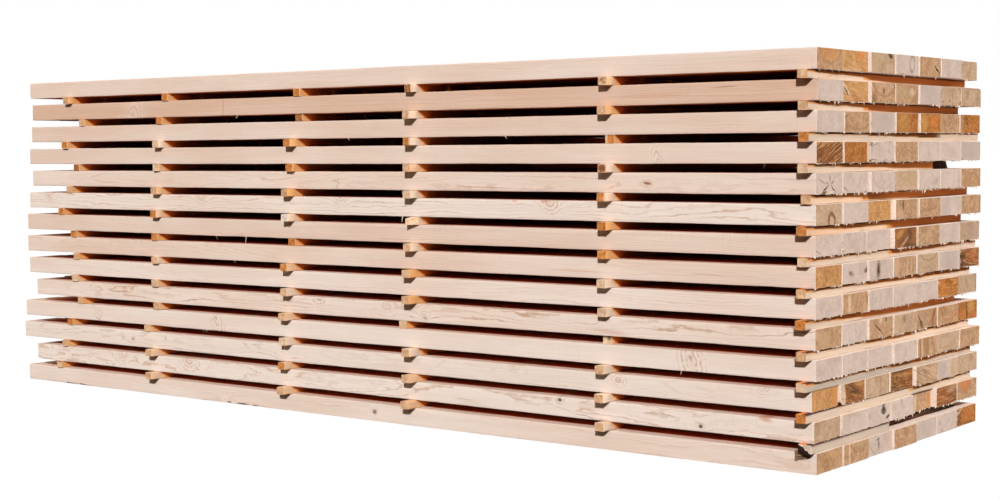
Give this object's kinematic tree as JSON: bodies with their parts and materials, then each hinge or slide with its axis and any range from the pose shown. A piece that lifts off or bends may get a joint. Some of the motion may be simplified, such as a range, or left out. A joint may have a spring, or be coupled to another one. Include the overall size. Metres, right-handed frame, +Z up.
{
  "type": "stack of lumber",
  "caption": "Stack of sawn softwood boards laid flat in layers, with thin cross battens between the layers so that air can pass through while the wood dries.",
  "frame": {"origin": "middle of the underside, on the lowest layer's middle board, on the floor", "axes": "+X along the boards towards the squared-off end, +Y from the near long side to the far one, +Z up"},
  "size_m": [2.739, 0.9271, 0.918],
  "materials": {
    "boards": "sawn pale softwood, bright on the faces and grey to orange on the end grain",
    "stickers": "rough-sawn batten, warmer and darker than the boards"
  },
  "bodies": {
    "root": {"board_layer_01": "boards", "board_layer_02": "boards", "board_layer_03": "boards", "board_layer_04": "boards", "board_layer_05": "boards", "board_layer_06": "boards", "board_layer_07": "boards", "board_layer_08": "boards", "board_layer_09": "boards", "board_layer_10": "boards", "board_layer_11": "boards", "board_layer_12": "boards", "board_layer_13": "boards", "board_layer_14": "boards", "sticker_01_end_far": "stickers", "sticker_01_end_near": "stickers", "sticker_01_middle": "stickers", "sticker_01_tail": "stickers", "sticker_02_end": "stickers", "sticker_02_middle": "stickers", "sticker_02_tail": "stickers", "sticker_03_end": "stickers", "sticker_03_middle": "stickers", "sticker_03_tail": "stickers", "sticker_04_end": "stickers", "sticker_04_middle": "stickers", "sticker_04_tail": "stickers", "sticker_05_end": "stickers", "sticker_05_middle": "stickers", "sticker_05_tail": "stickers", "sticker_06_end": "stickers", "sticker_06_middle": "stickers", "sticker_06_tail": "stickers", "sticker_07_end": "stickers", "sticker_07_middle": "stickers", "sticker_07_tail": "stickers", "sticker_08_end": "stickers", "sticker_08_middle": "stickers", "sticker_08_tail": "stickers", "sticker_09_end": "stickers", "sticker_09_middle": "stickers", "sticker_09_tail": "stickers", "sticker_10_end_far": "stickers", "sticker_10_end_near": "stickers", "sticker_10_middle": "stickers", "sticker_10_tail": "stickers", "sticker_11_end": "stickers", "sticker_11_middle": "stickers", "sticker_11_tail": "stickers", "sticker_12_end": "stickers", "sticker_12_middle": "stickers", "sticker_12_tail": "stickers", "sticker_13_end": "stickers", "sticker_13_middle": "stickers", "sticker_13_tail": "stickers"}
  },
  "joints": []
}
